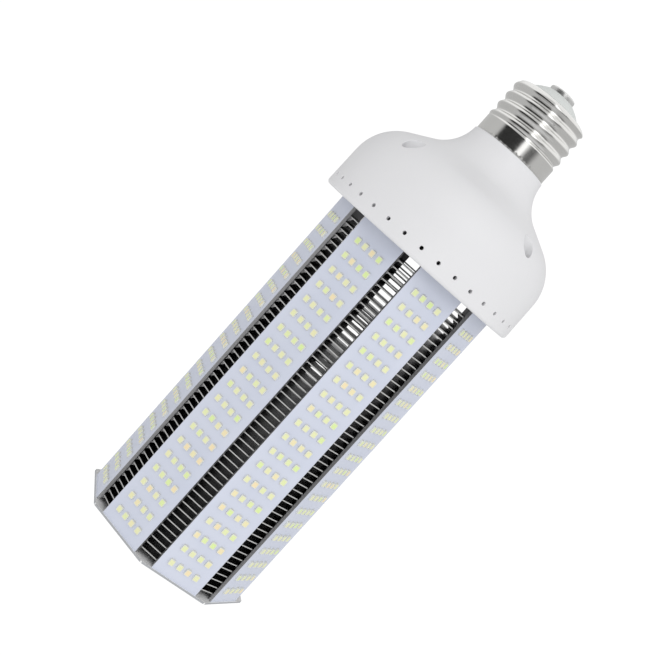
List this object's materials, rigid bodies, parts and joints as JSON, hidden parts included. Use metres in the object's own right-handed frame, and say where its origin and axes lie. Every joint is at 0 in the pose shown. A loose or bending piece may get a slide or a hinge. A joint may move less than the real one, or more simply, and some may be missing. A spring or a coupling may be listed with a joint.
{
  "type": "corn led bulb",
  "caption": "Upright corn lamp: flat LED boards round a stack of thin fins, under a white bell housing with a screw cap.",
  "frame": {"origin": "centre of the end plate's outer face, on the lamp's axis", "axes": "+Z along the lamp's axis from the end plate to the screw cap; a gap between two LED boards faces -Y"},
  "size_m": [0.0718, 0.0718, 0.1821],
  "materials": {
    "end_plate_aluminium": "thin sheet, satin",
    "fin_aluminium": "thin bright sheet, dark between the plates",
    "plate_aluminium": "satin",
    "plated_steel": "zinc plated",
    "board_white": "white solder mask on an aluminium base",
    "led_phosphor": "pale yellow phosphor in a white case",
    "housing_plastic": "white, matt",
    "nickelled_brass": "nickel plated, bright",
    "insulator_plastic": "pale grey, matt",
    "contact_metal": "nickel plated, dull",
    "standoff_brass": "bare",
    "circuit_board": "green solder mask on glass fibre",
    "ferrite": "dark grey",
    "winding_copper": "enamelled wire",
    "coil_tape": "yellow tape over the winding",
    "capacitor_sleeve": "dark sleeve",
    "fuse_body": "grey green lacquer",
    "live_insulation": "red insulation",
    "neutral_insulation": "white insulation",
    "lead_insulation": "white insulation"
  },
  "bodies": {
    "root": {"end_plate": "end_plate_aluminium", "fins": "fin_aluminium", "fin_flanges": "fin_aluminium", "mounting_plate": "plate_aluminium", "stack_screws": "plated_steel", "stack_nuts": "plated_steel", "led_board_1": "board_white", "leds_1": "led_phosphor", "led_board_2": "board_white", "leds_2": "led_phosphor", "led_board_3": "board_white", "leds_3": "led_phosphor", "led_board_4": "board_white", "leds_4": "led_phosphor", "led_board_5": "board_white", "leds_5": "led_phosphor", "led_board_6": "board_white", "leds_6": "led_phosphor", "led_board_7": "board_white", "leds_7": "led_phosphor", "led_board_8": "board_white", "leds_8": "led_phosphor", "housing": "housing_plastic", "housing_screws": "plated_steel", "screw_shell": "nickelled_brass", "cap_insulator": "insulator_plastic", "centre_contact": "contact_metal", "driver_standoffs": "standoff_brass", "driver_board": "circuit_board", "driver_screws": "plated_steel", "transformer_core": "ferrite", "transformer_coil": "coil_tape", "input_capacitor": "capacitor_sleeve", "output_capacitors": "capacitor_sleeve", "choke": "ferrite", "choke_winding": "winding_copper", "rectifier": "ferrite", "fuse": "fuse_body", "live_lead": "live_insulation", "neutral_lead": "neutral_insulation", "board_jumpers": "lead_insulation", "supply_leads": "lead_insulation"}
  },
  "joints": []
}
